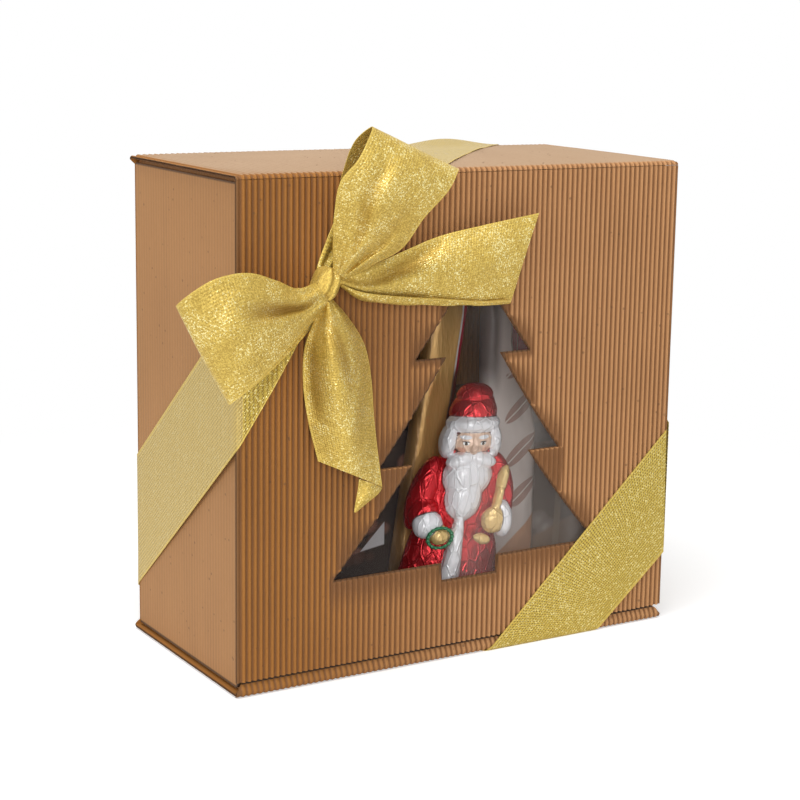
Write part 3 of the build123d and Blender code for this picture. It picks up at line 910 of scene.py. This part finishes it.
rightTail = {
    "rows": [
        [(336, 276, -72), (339, 282, -76), (341, 287, -74), (342, 285, -77)],
        [(362, 270, -72), (365, 283, -78), (361, 300, -75), (362, 292, -79)],
        [(402, 252, -70), (405, 278, -77), (407, 305, -73), (407, 297, -77)],
        [(437, 237, -70), (441, 270, -77), (446, 306, -72), (446, 299, -75)],
        [(480, 226, -71), (480, 264, -76), (478, 306, -71), (479, 301, -73)],
        [(539, 213, -74), (527, 250, -73), (510, 304, -69), (511, 300, -71)],
    ],
    "length": 104,
    "held": (0.0,),
    "pleats": 2.5,
    "folds": [(0.0, 0.55, 0.42, 0.10, 0.12, -4.5), (0.0, 0.5, 0.75, 0.72, 0.08, -2.5)],
}
lowerTail = {
    "rows": [
        [(324, 300, -72), (328, 302, -77), (333, 300, -73)],
        [(314, 322, -68), (331, 322, -84), (347, 316, -72)],
        [(305, 346, -66), (335, 350, -88), (364, 344, -70)],
        [(303, 382, -66), (339, 388, -86), (371, 378, -68)],
        [(308, 420, -67), (343, 428, -82), (374, 420, -68)],
        [(318, 461, -69), (348, 473, -78), (382, 487, -71)],
    ],
    "length": 100,
    "held": (0.0,),
    "pleats": 2.5,
    "folds": [(0.0, 0.50, 0.42, 0.55, 0.12, -5.0), (0.05, 0.75, 0.12, 0.08, 0.08, -3.0),
              (0.35, 0.9, 0.85, 0.40, 0.10, 1.6)],
}
tailTip = {
    "rows": [
        [(359, 479, -74), (371, 483, -75), (382, 488, -71)],
        [(358, 489, -74), (367, 493, -77), (378, 494, -75)],
        [(356, 500, -75), (361, 502, -77), (368, 502, -76)],
        [(354, 512, -76), (355, 512.5, -76), (356.5, 512, -76)],
    ],
}
towardsCamera = Vector((-0.50, -0.80, 0.22)).normalized()


def clothRows(settings, columns, count, crumple):
    lines = [[seenAt(*point) for point in row] for row in settings["rows"]]
    lines = [curveThrough(line, columns) for line in lines]
    tracks = [curveThrough([line[column] for line in lines], count) for column in range(columns + 1)]
    rows, pockets = [], []
    for row in range(count + 1):
        s = row / count
        line = []
        for column in range(columns + 1):
            t = column / columns
            point = tracks[column][row].copy()
            near = max([exp(-abs(s - end) * 9) for end in settings.get("held", ())], default=0)
            rise = settings.get("pleats", 0) * near * (1 - near) * 2 * sin(2 * pi * 2.5 * t + 1.2)
            pocket = 0
            for first, last, tFirst, tLast, width, depth in settings.get("folds", ()):
                if first < s < last:
                    share = (s - first) / (last - first)
                    line0 = tFirst + (tLast - tFirst) * share
                    fold = depth * sin(pi * share) ** 0.8 * exp(-((t - line0) / width) ** 2)
                    rise += fold
                    # how deep the fold is sets its painted shade in the material
                    pocket = max(pocket, -fold / 9)
            rise += crumple * noise.noise(point * 120) * (1 + 1.6 * near)
            rise += crumple * 0.5 * noise.noise(point * 330 + Vector((5, 1, 2)))
            line.append(point + towardsCamera * rise * mm)
            pockets.append(pocket)
        rows.append(line)
    return rows, pockets


def bowStrip(name, settings, columns=44, count=110, crumple=0.45):
    return clothPiece(name, *clothRows(settings, columns, count, crumple))


def finishStrip(piece, settings, node):
    dress(piece, ribbonMaterial(piece.name + "Cloth", settings["length"]), "gold_ribbon", "sleeve", node)


def makeBow():
    finishStrip(bowStrip("bowUpperLoop", upperLoop), upperLoop, "bow_upper_loop")
    finishStrip(bowStrip("bowLeftLoop", leftLoop), leftLoop, "bow_left_loop")
    finishStrip(bowStrip("bowRightTail", rightTail, 44, 70), rightTail, "bow_right_tail")
    tail = bowStrip("bowLowerTail", lowerTail, 44, 70)
    tip = bowStrip("bowTailTip", tailTip, 10, 16, 0.2)
    finishStrip(joined("bowLowerTail", tail, tip), lowerTail, "bow_lower_tail")


knot = {"centre": (-87.8, -70.5, 201.5), "half": (6.0, 7.0, 7.8), "turn": 24, "pleat": 0.11, "cloth": 60}


def makeKnot():
    turn, half, centre = Matrix.Rotation(radians(knot["turn"]), 3, "Y"), knot["half"], Vector(knot["centre"])

    def pleated(point):
        x, y, z = point
        around = atan2(y, z)
        square = 1 / (abs(x) ** 3 + abs(y) ** 3 + abs(z) ** 3) ** (1 / 3)
        fold = 1 + knot["pleat"] * sin(x * 9 + 1.5 * sin(around)) + 0.05 * noise.noise(point * 3)
        shaped = Vector((x, y * fold, z * fold)) * square
        return (centre + turn @ Vector([shaped[axis] * half[axis] for axis in range(3)])) * mm

    piece = added("bowKnot", "uv_sphere", pleated, segments=64, ring_count=40, radius=1)
    smooth(piece, 180)
    dress(piece, ribbonMaterial("bowKnotCloth", knot["cloth"]), "gold_ribbon", "sleeve", "bow_knot")


makeKnot()
makeBow()
print("bow made")


# film behind the window

film = {"tone": (0.86, 0.78, 0.72), "haze": 0.08, "shine": 0.085, "reflectionPatch": 0.045}


def filmMaterial():
    paint = Paint("clearFilm")
    spot = paint.place()
    x, y, z = paint.axes(spot)
    slant = paint.scaled(spot, (1, 1, 0.22), (0, 0.35, 0))
    streaks = paint.noise(slant, 26, 2, 0.45).above(0.56, 0.14)
    low = paint.noise(spot, 9, 1).above(0.40, 0.2)
    edge = paint.node("Fresnel", {}, {"IOR": 1.45})
    # painted reflection: the haze streaks are stronger on the right, and more of the glossy film shows low
    # on the right
    right = 0.25 + x.above(0.01, 0.03)
    reflectionPatch = x.above(0.0, 0.016) * z.below(0.125, 0.045) * film["reflectionPatch"]
    share = edge * film["shine"] * (0.25 + streaks) + streaks * low * right * film["haze"] + reflectionPatch
    ripple = paint.noise(paint.scaled(spot, (1, 1, 0.35)), 34, 2)
    normal = paint.bump(ripple, 0.35, 0.004)
    glossy = paint.surface(Base_Color=film["tone"], Roughness=0.12, Normal=normal, Specular_IOR_Level=0.6)
    clear = paint.node("BsdfTransparent", {}, {"Color": (0.97, 0.97, 0.97)})
    return paint.finish(paint.node("MixShader", {}, [share, clear, glossy]))


# foil figure: rounded forms melted into one moulded shape, then printed by their colours

foil = {
    "red": (0.60, 0.016, 0.024),
    "white": (0.85, 0.85, 0.88),
    "skin": (0.80, 0.56, 0.42),
    "cord": (0.72, 0.50, 0.20),
    "ink": (0.03, 0.02, 0.02),
    "cheek": (0.75, 0.26, 0.16),
    "eye": (0.85, 0.85, 0.84),
    "pupil": (0.05, 0.03, 0.02),
    "strand": (0.30, 0.30, 0.33),
}
figure = {
    "foot": (4.0, -33.1, 4.5),
    "lean": 7.4,
    "turn": 20,
    "voxel": 0.8,
    "crinkle": 0.22,
    "hatCrease": 126,
    # each form: centre, half sizes, tilt in the front plane in degrees, colour
    "forms": [
        ((0, 2, 24), (27, 15, 52), 0, "red"),
        ((0, 2, 66), (23, 14.5, 30), 0, "red"),
        ((0.5, 1.5, 82), (21, 13, 15), 0, "red"),
        ((1.5, 0, 102), (14.5, 13, 19), 0, "red"),
        ((2.2, 0, 118), (12.6, 12, 11), 0, "red"),
        ((2.4, 1, 125), (10.4, 10, 8.4), 6, "red"),
        ((1.8, -4, 113.4), (14.4, 11.5, 5.6), 0, "white"),
        ((-10.4, -4, 104), (4.4, 8.5, 9), 6, "white"),
        ((13.8, -4, 104), (4.4, 8.5, 9), -6, "white"),
        ((1.7, -6.5, 104), (10.8, 8.8, 8.6), 0, "skin"),
        ((1.7, -15.0, 101.4), (2.0, 3.0, 2.0), 0, "skin"),
        ((-4.0, -11.6, 95.4), (8.2, 5.4, 3.9), -16, "white"),
        ((7.2, -11.6, 95.4), (8.2, 5.4, 3.9), 16, "white"),
        ((1.2, -8.5, 86), (12.8, 9, 12), 0, "white"),
        ((0.2, -10.5, 75), (9.4, 7.5, 12), 0, "white"),
        ((-20, -2, 76), (7.2, 9, 20), 15, "red"),
        ((-19.5, -8, 66), (8, 9, 9), 0, "red"),
        ((-18.0, -14, 62), (8.0, 7, 7.4), 20, "white"),
        ((-11.5, -17, 57.0), (5.6, 5, 5.2), 0, "cord"),
        ((21, -2, 77), (7.6, 9, 20), -12, "red"),
        ((22.5, -11, 63), (5.4, 8, 9.5), -8, "white"),
        ((16.6, -15.2, 63.8), (6.2, 5.2, 7.0), -10, "cord"),
        ((20.4, -11.0, 84), (2.8, 4.0, 8), 8, "cord"),
        ((18.4, -13.0, 74), (2.2, 3.6, 8), 12, "cord"),
        ((11.5, -15.5, 54), (5.0, 3.0, 2.6), 15, "cord"),
        ((-3.0, -14.0, 26), (5.0, 5.2, 42), 3, "white"),
    ],
}


def inFigure(x, y, z):  # a point of the upright figure, put in its place in the tray
    turn, slope = radians(figure["turn"]), sin(radians(figure["lean"]))
    foot = figure["foot"]
    return Vector((foot[0] + x * cos(turn) + y * sin(turn) + slope * z,
                   foot[1] - x * sin(turn) + y * cos(turn), foot[2] + z)) * mm


def formDistance(point, centre, half, tilt):
    angle = radians(tilt)
    dx, dy, dz = (point[axis] - centre[axis] for axis in range(3))
    dx, dz = dx * cos(angle) - dz * sin(angle), dx * sin(angle) + dz * cos(angle)
    reach = sqrt((dx / half[0]) ** 2 + (dy / half[1]) ** 2 + (dz / half[2]) ** 2)
    return (reach - 1) * min(half) * 0.5 + (reach - 1) * sum(half) / 6


def roundForm(centre, half, tilt):
    angle = radians(tilt)

    def placed(point):
        x, y, z = (point[axis] * half[axis] for axis in range(3))
        x, z = x * cos(angle) + z * sin(angle), z * cos(angle) - x * sin(angle)
        return Vector((centre[0] + x, centre[1] + y, max(0, centre[2] + z)))
    return added("form", "uv_sphere", placed, segments=40, ring_count=28, radius=1)


def makeFigure():
    piece = joined("foilFather", *(roundForm(*form[:3]) for form in figure["forms"]))
    applied(piece, "REMESH", mode="VOXEL", voxel_size=figure["voxel"], adaptivity=0)
    applied(piece, "SMOOTH", factor=0.5, iterations=3)
    points = [(vertex.co.copy(), vertex.normal.copy()) for vertex in piece.data.vertices]
    colours, gaps, places = [], [], []
    crease = figure["hatCrease"]
    for point, normal in points:
        nearest = {}
        for centre, half, tilt, colour in figure["forms"]:
            far = formDistance(point, centre, half, tilt)
            nearest[colour] = min(far, nearest.get(colour, 99))
        ranked = sorted(nearest.items(), key=lambda entry: entry[1])
        colours.extend((*foil[ranked[0][0]], 1))
        gaps.append(ranked[1][1] - ranked[0][1])
        x, y, z = point
        wrinkle = wobble(x * 0.16, y * 0.16, z * 0.07) + 0.6 * abs(noise.noise(point * 0.33))
        hatLine = -0.7 * exp(-((z - crease - 0.06 * x) / 0.9) ** 2) if z > crease - 6 else 0
        places.extend(inFigure(*(point + normal * (figure["crinkle"] * 2 * wrinkle + hatLine))))
    piece.data.vertices.foreach_set("co", places)
    piece.data.update()
    piece.data.attributes.new("print", "FLOAT_COLOR", "POINT").data.foreach_set("color", colours)
    piece.data.attributes.new("ink", "FLOAT", "POINT").data.foreach_set("value", gaps)
    smooth(piece, 180)
    dress(piece, foilMaterial(), "red_foil", "tray", "foil_figure")


wreath = {
    "centre": (-12.0, -20.6, 56.5),
    "ring": 6.4,
    "thick": 1.0,
    "leaves": 17,
    "squash": 0.86,
    "lean": 0.12,
}


def makeWreath():
    ring, (left, front, high) = wreath["ring"], wreath["centre"]

    def leafy(point):
        x, y, z = point
        around = atan2(y, x)
        leaf = 1 + 0.3 * sin(around * wreath["leaves"]) * (abs(z) + 0.4)
        far = ring + (sqrt(x * x + y * y) - ring) * leaf
        rise = far * sin(around)
        return inFigure(left + far * cos(around), front + z * leaf - wreath["lean"] * rise,
                        high + rise * wreath["squash"])

    piece = added("foilWreath", "torus", leafy, major_segments=64, minor_segments=14, major_radius=ring,
                  minor_radius=wreath["thick"])
    smooth(piece, 180)
    paint = Paint("wreathGreen")
    tone = paint.mix(paint.noise(paint.place(), 900, 2), (0.01, 0.09, 0.04), (0.05, 0.28, 0.12))
    dress(piece, paint.solid(tone, Metallic=0.3, Roughness=0.3), "red_foil", "tray")


face = {  # the printed face: place across and up, half sizes, in mm
    "middle": 1.7,
    "eye": (4.5, 104.3, 1.7, 0.85),
    "pupil": (4.5, 104.2, 0.8, 0.8),
    "lid": (4.5, 105.2, 2.0, 0.36),
    "brow": (4.8, 107.4, 3.0, 1.0),
    "cheek": (6.8, 100.4, 2.4, 1.8),
}


def foilMaterial():
    paint = Paint("printedFoil")
    spot = paint.place()
    printed = paint.attribute("print", "Color")
    gap = paint.attribute("ink")
    turn, slope, foot = radians(figure["turn"]), sin(radians(figure["lean"])), figure["foot"]
    x, y, z = paint.axes(spot)
    up = z * 1000 - foot[2]
    dx, dy = x * 1000 - foot[0] - up * slope, y * 1000 - foot[1]
    across = dx * cos(turn) - dy * sin(turn)
    deep = dx * sin(turn) + dy * cos(turn)
    ahead = deep.below(-9.0, 0.5)

    def patch(name, soft=0.25):
        cx, cz, rx, rz = face[name]
        far = (((across - face["middle"]).size() - cx) / rx) ** 2 + ((up - cz) / rz) ** 2
        return far.below(1.0, soft) * ahead

    outline = gap.below(0.34, 0.14)
    strand = (across * 1.7 + (up * 0.21).wave() * 1.6).wave().above(0.93, 0.05)
    strand = strand * up.below(94, 1.0) * up.above(62, 2.0)
    trim = paint.axes(printed)[1].above(0.5, 0.05)
    colour = paint.layered(printed, (patch("cheek", 0.6) * 0.5, foil["cheek"]), (patch("eye"), foil["eye"]),
                           (patch("pupil"), foil["pupil"]), (patch("brow", 0.35), foil["white"]),
                           (patch("lid"), foil["ink"]), (outline * 0.8, foil["ink"]),
                           (strand * trim * 0.30 * ahead, foil["strand"]))
    edges = paint.cells(paint.scaled(spot, (1, 1, 0.5)), 190, "Distance", "DISTANCE_TO_EDGE")
    folds = paint.noise(paint.scaled(spot, (1, 1, 0.35)), 240, 3, 0.6)
    normal = paint.bump(folds + edges.below(0.05, 0.05) * 0.4, 0.55, 0.0016)
    return paint.solid(colour, Metallic=0.55 - trim * 0.45, Roughness=0.26, Normal=normal)


# wrapped bars: a filled sleeve of film pressed flat and crimped at its ends

goldBar = {
    "foot": (-4.5, -7, 5.4),
    "lean": 8.4,
    "length": 197,
    "half": (11.6, 6.4),
    "crimp": 15,
    "node": "gold_wrapped_bar",
    "neck": None,
    "shade": (0.10, 0.035, 0.015),
}
creamBar = {
    "foot": (61.5, -7, 5.0),
    "lean": 0.0,
    "length": 188,
    "half": (17.2, 6.8),
    "crimp": 14,
    "node": "cream_wrapped_bar",
    "neck": (0.50, 0.80, 8.6, -9.0),  # from and to, as shares of the length; half width and shift above it
    "leaf": {"row": 25.0, "across": 5, "turn": 38, "half": (13.5, 4.4), "tone": (0.40, 0.17, 0.11)},
}


barShape = {"around": 72, "rings": 150, "power": 0.72, "edge": 0.35, "teeth": 1.2}


def makeBar(name, settings, material, slot):
    around, rings, power = barShape["around"], barShape["rings"], barShape["power"]
    lean, foot = radians(settings["lean"]), settings["foot"]
    length, crimp, (halfAcross, halfThick) = settings["length"], settings["crimp"], settings["half"]

    def rounded(value):
        return abs(value) ** power * (1 if value > 0 else -1)

    def place(column, row):
        angle, up = 2 * pi * column / around, row / rings
        z = up * length
        end = min(z, length - z)
        flat = 1 - exp(-(max(0, end - crimp * 0.55) / (crimp * 0.6)) ** 1.5) if end > crimp * 0.55 else 0
        wide, shift = halfAcross, 0
        if settings["neck"]:
            first, last, slim, aside = settings["neck"]
            t = eased(between(0, (up - first) / (last - first), 1))
            wide, shift = wide + (slim - wide) * t, aside * t
        wide *= 0.94 + 0.06 * flat + 0.05 * (1 - flat)
        x = wide * rounded(cos(angle))
        y = (barShape["edge"] + halfThick * flat) * rounded(sin(angle))
        y += (1 - flat) * 0.35 * sin(z * 4.2)
        y += 1.8 * flat * (1 - flat) * sin(x * 1.3 + 0.6 * wobble(x, z * 0.1, 1))
        if angle > pi:
            y += flat * (0.9 * wobble(x * 0.09, z * 0.045, 4) + 0.5 * wobble(x * 0.2, z * 0.13, 9))
        y = between(-halfThick, y, halfThick)
        if end < barShape["teeth"]:
            z += 0.8 * (1 if z < length / 2 else -1) * (column % 2)
        x += shift
        return Vector((foot[0] + x * cos(lean) + z * sin(lean), foot[1] + y,
                       foot[2] + z * cos(lean) - x * sin(lean))) * mm

    piece = grid(name, around, rings, place)
    meshEdit(piece, ("remove_doubles", {"threshold": 0.00002}))
    openEnds = ("select_all", {"action": "DESELECT"}), ("select_non_manifold", {})
    faceOutward(piece, *openEnds, ("fill_holes", {"sides": 0}))
    smooth(piece, 50)
    dress(piece, material, slot, "tray", settings["node"])


def barAxes(paint, settings):
    x, y, z = paint.axes(paint.place())
    lean, foot = radians(settings["lean"]), settings["foot"]
    dx, dz = x * 1000 - foot[0], z * 1000 - foot[2]
    return dx * cos(lean) - dz * sin(lean), dx * sin(lean) + dz * cos(lean)


def goldWrapMaterial():
    paint = Paint("goldWrap")
    spot = paint.place()
    across, up = barAxes(paint, goldBar)
    cloud = paint.noise(paint.scaled(spot, (1, 1, 0.4)), 45, 3)
    colour = paint.layered(
        paint.mix(cloud, (0.52, 0.26, 0.075), (0.86, 0.55, 0.20)),
        (across.above(7.4, 0.2), (0.55, 0.012, 0.04)),
        (across.above(6.4, 0.2) * across.below(7.4, 0.2), (0.85, 0.84, 0.82)),
        (across.above(6.2, 0.6) * up.below(138, 4.0) * 0.9, goldBar["shade"]),
        (across.below(-9.0, 0.6) * 0.6, goldBar["shade"]))
    ridges = paint.noise(paint.scaled(spot, (1, 1, 0.3)), 120, 3, 0.6)
    return paint.solid(colour, Metallic=0.35, Roughness=0.32, Normal=paint.bump(ridges, 0.5, 0.003))


def creamWrapMaterial():
    paint = Paint("creamWrap")
    spot = paint.place()
    across, up = barAxes(paint, creamBar)
    cloud = paint.noise(spot, 40, 3)
    colour = paint.mix(cloud, (0.88, 0.78, 0.72), (0.95, 0.88, 0.83))
    leaf = creamBar["leaf"]
    row = paint.node("Math", {"operation": "WRAP"}, [up, leaf["row"], 0.0]) - leaf["row"] / 2
    aside, turn = across - leaf["across"], radians(leaf["turn"])
    long = aside * cos(turn) + row * sin(turn)
    short = row * cos(turn) - aside * sin(turn)
    inside = ((long / leaf["half"][0]) ** 2 + (short / leaf["half"][1]) ** 2).below(1.0, 0.12)
    leaves = inside * short.size().above(0.45, 0.12) * up.above(56, 1.0) * up.below(131, 1.0)
    folds = paint.noise(paint.scaled(spot, (1, 1, 0.5), (0, 0.5, 0)), 60, 2).above(0.55, 0.1)
    colour = paint.layered(
        colour,
        (leaves * 0.75, leaf["tone"]),
        ((up - across * 0.8).below(38, 0.8), (0.74, 0.40, 0.22)),
        (across.above(14.6, 0.8) * 0.4, (0.24, 0.19, 0.16)),
        # painted shade: the bar's upper part is darker, with darker folds. The next layer makes its upper
        # left edge darker still.
        (up.above(140, 16) * (0.45 + folds * 0.5), (0.10, 0.045, 0.036)),
        (up.above(125, 14) * across.below(-10.5, 3.0) * 0.8, (0.045, 0.022, 0.018)))
    ridges = paint.noise(paint.scaled(spot, (1, 1, 0.3)), 90, 2, 0.5)
    return paint.solid(colour, Roughness=0.38, Normal=paint.bump(ridges, 0.35, 0.003))


# printed cartons

def cartonMaterial(name, base, motif, size, share, extra):
    paint = Paint(name)
    spot = paint.place()
    x, y, z = paint.axes(spot)
    cloud, shine = paint.noise(spot, 55, 3), paint.noise(spot, 160, 2)
    rounds = paint.cells(paint.scaled(spot, (1, 1, 1.15)), 1000 / size, "Distance")
    colour = paint.layered(
        base,
        (cloud * 0.6, tuple(tone * 2.2 for tone in base)),
        (rounds.below(0.42, 0.10) * share, motif),
        (rounds.below(0.20, 0.12) * share * shine, tuple(min(1, tone * 3.2) for tone in motif)),
        *extra(x * 1000, z * 1000))
    normal = paint.bump(shine, 0.05, 0.0005)
    return paint.solid(colour, Roughness=0.30, Normal=normal, Coat_Weight=0.25)


def pralineExtra(x, z):
    wedge = (z - x).below(70.5, 0.4) * (z - x * 0.15).above(47.8, 0.4) * x.below(-11.8, 0.3)
    return (wedge, (0.85, 0.85, 0.88)), ((z - x * 0.15).below(47.6, 0.6) * 0.75, (0.030, 0.011, 0.008))


def spiceExtra(x, z):
    top = z.above(92, 0.5) * z.below(103, 0.5)
    foot = (z - x * 0.33).below(9, 2.0) * x.above(85, 3.0)
    slant = x - z * 0.05
    stripe = slant.above(98.0, 0.6) * slant.below(102.5, 0.6) * z.below(70, 2.0)
    return ((top * 0.8, (0.16, 0.16, 0.155)), (foot * 0.8, (0.42, 0.26, 0.15)),
            (stripe * 0.6, (0.50, 0.40, 0.26)))


def redExtra(x, z):
    line = (z - 121.5).size().below(0.5, 0.1) + (x - 81.5).size().below(0.4, 0.1) * z.above(121.5, 0.1)
    return ((line * 0.8, (0.60, 0.50, 0.42)),)


cartons = {  # base colour, motif's colour, its size in mm, how strongly it shows, further layers
    "dark_praline_carton":
        ("pralineCarton", (0.036, 0.024, 0.021), (0.28, 0.13, 0.09), 13, 0.9, pralineExtra),
    "dark_chocolate_carton":
        ("spiceCarton", (0.14, 0.105, 0.085), (0.38, 0.33, 0.30), 17, 0.7, spiceExtra),
    "red_carton":
        ("redCarton", (0.36, 0.012, 0.045), (0.36, 0.012, 0.045), 20, 0.1, redExtra),
}
recolour(filmMaterial(), "window_film")
makeFigure()
makeWreath()
makeBar("goldBar", goldBar, goldWrapMaterial(), "gold_wrapper")
makeBar("creamBar", creamBar, creamWrapMaterial(), "cream_wrapper")
for node, settings in cartons.items():
    recolour(cartonMaterial(*settings), node)
print("film and sweets made")
